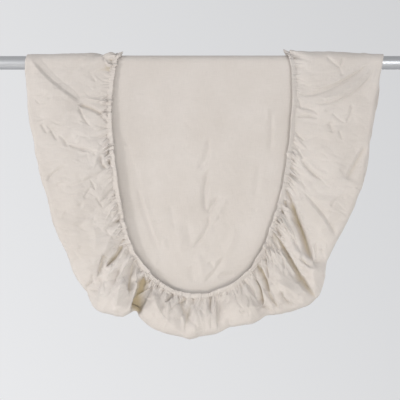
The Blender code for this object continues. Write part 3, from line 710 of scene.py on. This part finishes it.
def skirt_grid(value, hem_run):
    """Rows from the panel over the turned edge and the skirt to the hem casing's inner side."""
    run_x = value["hem_x"] - value["edge_x"]
    run_length = value["hem_length"] - value["edge_length"]
    width = np.hypot(run_x, run_length)
    run_x = run_x / width
    run_length = run_length / width
    settle = eased(RAIL_FLATNESS, np.abs(value["edge_length"]) - QUARTER_TURN + 0.012)
    turn, stand, puff = (value[name] * settle for name in ("turn", "stand", "puff"))
    reach = value["reach"]
    wobble = sum(wave(hem_run * 1.5, *numbers) for numbers in EDGE_WAVES)
    rows = []

    def add_row(inwards, height, detail=HEM_CREASING):
        rows.append(np.broadcast_arrays(inwards, height, detail))

    def place(inwards):
        return value["edge_x"] + run_x * inwards, value["edge_length"] + run_length * inwards

    for step in range(TURN_STEPS + 1):
        swing = math.pi * (step / TURN_STEPS - 0.5)
        inwards = reach * (1 - math.cos(swing)) - wobble * math.cos(swing)
        add_row(inwards, turn * (1 + math.sin(swing)), smooth_step(1.3 * step / TURN_STEPS))
    top = 2 * turn
    hem_line = 1 - HEM_WIDTH / (width - reach)
    for step in range(1, SKIRT_STEPS + 1):
        way = step / SKIRT_STEPS
        share = hem_line * way * (1 + ROW_CROWDING - ROW_CROWDING * way)
        inwards = reach + share * (width - reach)
        height = top + (stand - top) * smooth_step(share) + puff * np.sin(math.pi * share) ** 1.3
        x, length = place(inwards)
        fade = faded(share, *FOLD_FADE) * smooth_step((np.abs(length) - QUARTER_TURN + 0.01) / 0.03)
        height = height + FOLD_SHARE * fade * on_both_sides(fold_height, x, length)
        add_row(inwards, np.maximum(height, SKIRT_FLOOR + 0.5 * turn), smooth_step((1 - share) / HEM_FADE))

    stitch_in, stitch_height, _ = rows.pop()
    add_row(stitch_in, stitch_height - STITCH_DEPTH)
    flat = HEM_WIDTH - HEM_HALF
    tilts = zip(HEM_TILT_LEFT, HEM_TILT_RIGHT)
    gain, start, limit = (np.where(value["hem_x"] > 0, right, left) for left, right in tilts)
    rise = HEM_RISE * np.minimum(gain * np.abs(run_x) + start, limit)
    for step in range(1, HEM_STEPS + 1):
        share = step / HEM_STEPS
        crown = HEM_CROWN * math.sin(math.pi * (0.12 + 0.76 * share)) + rise * share
        add_row(stitch_in + flat * share, stitch_height + crown)
    edge_in = stitch_in + flat
    edge_height = rows[-1][1] - HEM_HALF
    for step in range(1, HEM_EDGE_STEPS + 1):
        swing = math.pi * (0.5 - step / HEM_EDGE_STEPS)
        add_row(edge_in + HEM_HALF * math.cos(swing), edge_height + HEM_HALF * math.sin(swing))
    for share in (0.5, 1.0):
        add_row(edge_in - share * flat, edge_height - HEM_HALF - rise * share)

    inwards, height, detail = np.stack(rows, axis=1)
    inwards = inwards + wave(hem_run, *HEM_WAVE) * smooth_step(inwards / width * 4 - 3)
    return *place(inwards), height, detail, inwards, stitch_in


def run_along(x, length):
    """Run along a line from its first point."""
    return np.concatenate(([0], np.cumsum(np.hypot(np.diff(x), np.diff(length)))))


def grid_normals(points):
    """Outward unit normals of a grid that closes round its columns."""
    around = np.roll(points, -1, axis=1) - np.roll(points, 1, axis=1)
    normal = np.cross(around, np.gradient(points, axis=0))
    return normal / np.maximum(np.linalg.norm(normal, axis=-1, keepdims=True), 1e-12)


def skirt_points(value, edge_run):
    """The skirt's points with gathers and creases, and the painted shade of how deep each lies in a fold."""
    hem_run = run_along(value["hem_x"], value["hem_length"])
    x, length, height, detail, inwards, stitch_in = skirt_grid(value, hem_run)
    base = hang(x, length, height)
    over = smooth_step((np.abs(length) - 0.35 * QUARTER_TURN) / (0.5 * QUARTER_TURN))
    creases = over * on_both_sides(crease_height, x, length, FRONT_CREASES)
    distance = stitch_in - inwards
    gathers = gather_height(hem_run, distance, value)
    facets = facet_height(edge_run, distance, FACETS, seed=40)
    strewn = short_creases(x, length, SKIRT_STREWN, seed=23)
    calm = eased(RAIL_CALM, np.abs(length) - QUARTER_TURN)
    crumples = value["crumple"] * (facets + STREWN_SHARE * strewn) * calm
    at_seam = gathers[np.argmin(np.abs(distance), axis=0), np.arange(len(hem_run))]
    ripple = np.where(distance < 0.0001, HEM_GATHERS * at_seam, gathers * np.minimum(1, detail * 2))
    relief = eased(EDGE_CALM, inwards) * (CREASE_SHARE * creases + crumples) * detail + ripple
    deepest = -np.maximum(height - FOLD_FLOOR, 0)
    held = deepest + FOLD_FLOOR * np.logaddexp(0, (relief - deepest) / FOLD_FLOOR)
    relief = relief + detail * (held - relief)
    folds = detail * np.minimum(on_both_sides(fold_height, x, length), 0)
    # Painted shade: how deep creases, gathers and folds sink the cloth, for darkening its colour there
    shade = painted_shade_of_depth(PAINTED_SHADE_OF_CREASES * creases + ripple + PAINTED_SHADE_OF_FOLDS * folds)
    return base + grid_normals(base) * relief[..., None], shade


def painted_shade_of_depth(relief):
    """Painted shade for the cloth's colour: 0 on the open cloth and 1 deep in a fold."""
    return np.clip((-relief - OPEN_FOLD) / (DEEP_FOLD - OPEN_FOLD), 0, 1)


def add_object(name, data):
    """A new object in the scene."""
    item = bpy.data.objects.new(name, data)
    bpy.context.collection.objects.link(item)
    return item


def add_mesh(name, points, index):
    """A smooth object with faces between neighbours in a grid of its points."""
    faces = np.stack((index[:-1, :-1], index[:-1, 1:], index[1:, 1:], index[1:, :-1]), axis=-1).reshape(-1, 4)
    data = bpy.data.meshes.new(name)
    data.from_pydata(points.reshape(-1, 3).tolist(), [], faces.tolist())
    data.shade_smooth()
    return add_object(name, data), faces


def add_cloth(name, points, normals, flat_places, shade):
    """A piece of cloth from grids of points, normals, places in the flat cloth and painted fold shade."""
    item, faces = add_mesh(name, points, np.arange(shade.size).reshape(shade.shape))
    item.data.normals_split_custom_set_from_vertices(normals.reshape(-1, 3))
    layer = item.data.uv_layers.new(name="Weave")
    layer.data.foreach_set("uv", flat_places.reshape(-1, 2)[faces.ravel()].ravel())
    # The painted fold shade, kept on each point for the material
    folds = item.data.attributes.new("PaintedShade", "FLOAT", "POINT")
    folds.data.foreach_set("value", shade.ravel())
    return item


def build_panel(ring, sides):
    """The cloth inside the skirt, over the rail and down both sides."""
    x, length = (grid[:, ::-1] for grid in panel_grid(ring, sides))
    height = panel_height(x, length)
    points = hang(x, length, height)
    normals = np.cross(np.gradient(points, axis=1), np.gradient(points, axis=0))
    normals /= np.linalg.norm(normals, axis=-1, keepdims=True)
    # The panel also takes painted shade where it sinks deep
    return add_cloth("sheet_panel", points, normals, np.stack((x, length), axis=-1), painted_shade_of_depth(height))


def skirt_angles(sides):
    """Angles of the skirt's columns, and where its three pieces begin."""
    coarse = np.concatenate(sides)
    following = np.append(coarse[1:], coarse[0] + TURN)
    first = len(sides[0])
    second = first + len(sides[1])
    breaks = (BACK_ROWS + RAIL_ROWS // 2, (first + second) // 2, second + FRONT_ROWS + RAIL_ROWS // 2)
    angles = []
    starts = []
    for place, (here, after) in enumerate(zip(coarse, following)):
        if place in breaks:
            starts.append(len(angles))
        count = FRONT_SPLIT if breaks[0] <= place < breaks[2] else BACK_SPLIT
        angles.extend(here + (after - here) * np.arange(count) / count)
    return np.array(angles), starts


def build_skirt(ring, sides):
    """The turned edge, the gathered skirt and its hem, in three pieces."""
    angle, starts = skirt_angles(sides)
    count = len(angle)
    value = section_values(ring, angle)
    edge_run = run_along(value["edge_x"], value["edge_length"])
    points, shade = skirt_points(value, edge_run)
    depth = np.concatenate(([0], np.cumsum(np.linalg.norm(np.diff(points, axis=0), axis=-1).mean(axis=1))))
    flat_places = np.stack(np.broadcast_arrays(edge_run, depth[:, None]), axis=-1)
    grids = (points, grid_normals(points), flat_places, shade)
    pieces = []
    for name, first, last in zip(("left", "right", "back"), starts, (*starts[1:], starts[0] + count)):
        column = np.arange(first, last + 1) % count
        pieces.append(add_cloth("sheet_skirt_" + name, *(grid[:, column] for grid in grids)))
    return pieces


def build_rail():
    """The round tube with its open, lightly rounded ends."""
    half = RAIL_LENGTH / 2
    inner = RAIL_RADIUS - RAIL_WALL
    end = (
        (half - RAIL_END_ROUND, RAIL_RADIUS),
        (half - 0.3 * RAIL_END_ROUND, RAIL_RADIUS - 0.3 * RAIL_END_ROUND),
        (half, RAIL_RADIUS - RAIL_END_ROUND),
        (half, inner + RAIL_END_ROUND),
        (half - RAIL_END_ROUND, inner),
    )
    x, radius = np.array([(-x, radius) for x, radius in reversed(end)] + list(end)).T[..., None]
    angle = np.arange(RAIL_FACES) / RAIL_FACES * TURN
    points = np.stack(np.broadcast_arrays(x, radius * np.sin(angle), radius * np.cos(angle)), axis=-1)
    index = np.arange(points[..., 0].size).reshape(-1, RAIL_FACES)
    tube, _ = add_mesh("rail_tube", points, np.pad(index.T, ((0, 1), (0, 1)), mode="wrap"))
    tube.data.set_sharp_from_angle(angle=math.radians(40))
    return tube


def set_inputs(tree, node, **inputs):
    """Set or link a shader node's inputs by name, where _ stands for a space."""
    for name, value in inputs.items():
        socket = node.inputs[name.replace("_", " ")]
        if isinstance(value, bpy.types.NodeSocket):
            tree.links.new(value, socket)
        else:
            socket.default_value = value


def add_node(tree, kind, output, **inputs):
    """An output of a new shader node with the given inputs."""
    node = tree.nodes.new(kind)
    set_inputs(tree, node, **inputs)
    return node.outputs[output]


def new_material(name):
    """A material with its node tree and its shader."""
    material = bpy.data.materials.new(name)
    material.use_nodes = True
    return material, material.node_tree, material.node_tree.nodes["Principled BSDF"]


def stretched_noise(tree, place, scale, detail):
    """Noise scaled differently along each axis."""
    place = add_node(tree, "ShaderNodeMapping", "Vector", Vector=place, Scale=scale)
    return add_node(tree, "ShaderNodeTexNoise", "Fac", Vector=place, Scale=1.0, Detail=detail, Roughness=0.5)


def combined(tree, operation, first, second):
    """Two values added or multiplied."""
    node = tree.nodes.new("ShaderNodeMath")
    node.operation = operation
    tree.links.new(first, node.inputs[0])
    tree.links.new(second, node.inputs[1])
    return node.outputs[0]


def ranged(tree, value, source, target):
    """A value carried over from one range to another."""
    ends = dict(zip(("From_Min", "From_Max", "To_Min", "To_Max"), (*source, *target)))
    return add_node(tree, "ShaderNodeMapRange", "Result", Value=value, **ends)


def bump(tree, height, strength, distance, **below):
    """A bump from a height, which may lie over another one's normal."""
    inputs = dict(Height=height, Strength=strength, Distance=distance, **below)
    return add_node(tree, "ShaderNodeBump", "Normal", **inputs)


def multiplied(tree, share, first, second):
    """A colour multiplied by a second one, to the given share."""
    node = tree.nodes.new("ShaderNodeMix")
    node.data_type = "RGBA"
    node.blend_type = "MULTIPLY"
    set_inputs(tree, node, Factor=share, A=first, B=second)
    return node.outputs["Result"]


def cloth_material():
    """Washed plain weave in natural oatmeal: threads with slubs, mottled, matt and fuzzy, with warm shade
    painted into its folds.
    """
    material, tree, shader = new_material("washed_cloth")
    place = tree.nodes.new("ShaderNodeTexCoord").outputs["Object"]
    weave_map = tree.nodes.new("ShaderNodeUVMap")
    weave_map.uv_map = "Weave"
    flat = weave_map.outputs["UV"]

    ramp = tree.nodes.new("ShaderNodeValToRGB")
    mottle = add_node(tree, "ShaderNodeTexNoise", "Fac", Vector=place, Scale=9.0, Detail=4.0, Roughness=0.6)
    set_inputs(tree, ramp, Fac=mottle)
    for element, (position, colour) in zip(ramp.color_ramp.elements, CLOTH_COLOURS):
        element.position = position
        element.color = colour
    warp_slubs = stretched_noise(tree, flat, (900, 60, 1), 2.0)
    weft_slubs = stretched_noise(tree, flat, (60, 900, 1), 2.0)
    slubs = combined(tree, "ADD", warp_slubs, weft_slubs)
    tint = ranged(tree, slubs, (0.6, 1.4), (0.955, 1.045))
    # Painted shade: the cloth's colour darkened and warmed by how deep in a fold it lies
    fold = tree.nodes.new("ShaderNodeAttribute")
    fold.attribute_name = "PaintedShade"
    open_colour = multiplied(tree, 1.0, ramp.outputs["Color"], tint)
    colour = multiplied(tree, fold.outputs["Fac"], open_colour, PAINTED_SHADE_TINT)

    threads = []
    for direction in ("X", "Y"):
        bands = tree.nodes.new("ShaderNodeTexWave")
        bands.bands_direction = direction
        set_inputs(tree, bands, Vector=flat, Scale=520.0, Distortion=0.6, Detail=1.0)
        threads.append(bands.outputs["Fac"])
    weave = combined(tree, "ADD", *threads)
    fine = add_node(tree, "ShaderNodeTexNoise", "Fac", Vector=place, Scale=150.0, Detail=3.0, Roughness=0.55)
    woven = bump(tree, weave, 0.25, 0.00012)
    slubbed = bump(tree, slubs, 0.45, 0.0003, Normal=woven)
    crinkled = bump(tree, fine, 0.35, 0.0012, Normal=slubbed)
    set_inputs(tree, shader, Base_Color=colour, Roughness=0.92, Specular_IOR_Level=0.25, Normal=crinkled)
    set_inputs(tree, shader, Sheen_Weight=0.18, Sheen_Roughness=0.6)
    return material


def metal_material():
    """Satin grey metal with a fine grain along the tube."""
    material, tree, shader = new_material("satin_metal")
    place = tree.nodes.new("ShaderNodeTexCoord").outputs["Object"]
    grain = stretched_noise(tree, place, (12, 1500, 1500), 3.0)
    roughness = ranged(tree, grain, (0, 1), (0.34, 0.46))
    grained = bump(tree, grain, 0.08, 0.0002)
    set_inputs(tree, shader, Base_Color=METAL_COLOUR, Metallic=1.0, Roughness=roughness, Normal=grained)
    return material


def dress(item, material, node):
    """Give a piece its finish, and let it stand for its solid."""
    item.data.materials.append(material)
    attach(item, "root")
    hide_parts(node)


def add_floor():
    """A plain pale floor well below the sheet."""
    place = (0, 0, FLOOR_HEIGHT)
    bpy.ops.mesh.primitive_circle_add(vertices=96, radius=4.0, fill_type="NGON", location=place)
    floor = bpy.context.object
    floor.name = "floor"
    material, tree, shader = new_material("pale_floor")
    set_inputs(tree, shader, Base_Color=FLOOR_COLOUR, Roughness=0.9)
    floor.data.materials.append(material)


def add_light(name, place, target, size, power, colour, spread):
    """A soft light turned to a point."""
    lamp = bpy.data.lights.new(name, "AREA")
    lamp.shape = "RECTANGLE"
    lamp.size, lamp.size_y = size
    lamp.energy = power
    lamp.color = colour
    lamp.spread = math.radians(spread)
    item = add_object(name, lamp)
    item.location = place
    item.rotation_euler = (Vector(target) - Vector(place)).to_track_quat("-Z", "Y").to_euler()


def add_world():
    """Pale surroundings, a little brighter at the left and below."""
    world = bpy.data.worlds.new("surroundings")
    bpy.context.scene.world = world
    world.use_nodes = True
    tree = world.node_tree
    generated = tree.nodes.new("ShaderNodeTexCoord").outputs["Generated"]
    direction = tree.nodes.new("ShaderNodeSeparateXYZ")
    set_inputs(tree, direction, Vector=generated)
    upward = ranged(tree, direction.outputs["Z"], *UPWARD)
    rightward = ranged(tree, direction.outputs["X"], *RIGHTWARD)
    strength = combined(tree, "MULTIPLY", upward, rightward)
    set_inputs(tree, tree.nodes["Background"], Color=SKY_COLOUR, Strength=strength)


def add_camera():
    """A level camera in front of the sheet."""
    camera = bpy.data.cameras.new("camera")
    camera.lens = camera.sensor_width * CAMERA_DISTANCE / SEEN_WIDTH
    item = add_object("camera", camera)
    item.location = (0, -CAMERA_DISTANCE, CAMERA_HEIGHT)
    item.rotation_euler = (math.radians(90), 0, 0)
    bpy.context.scene.camera = item


def main():
    """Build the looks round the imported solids."""
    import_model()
    ring = ring_sections()
    sides = rim_angles(ring)
    panel = build_panel(ring, sides)
    skirts = build_skirt(ring, sides)
    tube = build_rail()
    cloth = cloth_material()
    for piece in (panel, *skirts):
        dress(piece, cloth, "sheet")
    dress(tube, metal_material(), "rail")
    add_floor()
    add_world()
    bpy.context.scene.view_settings.view_transform = "Standard"
    for light in LIGHTS:
        add_light(*light)
    add_camera()


main()
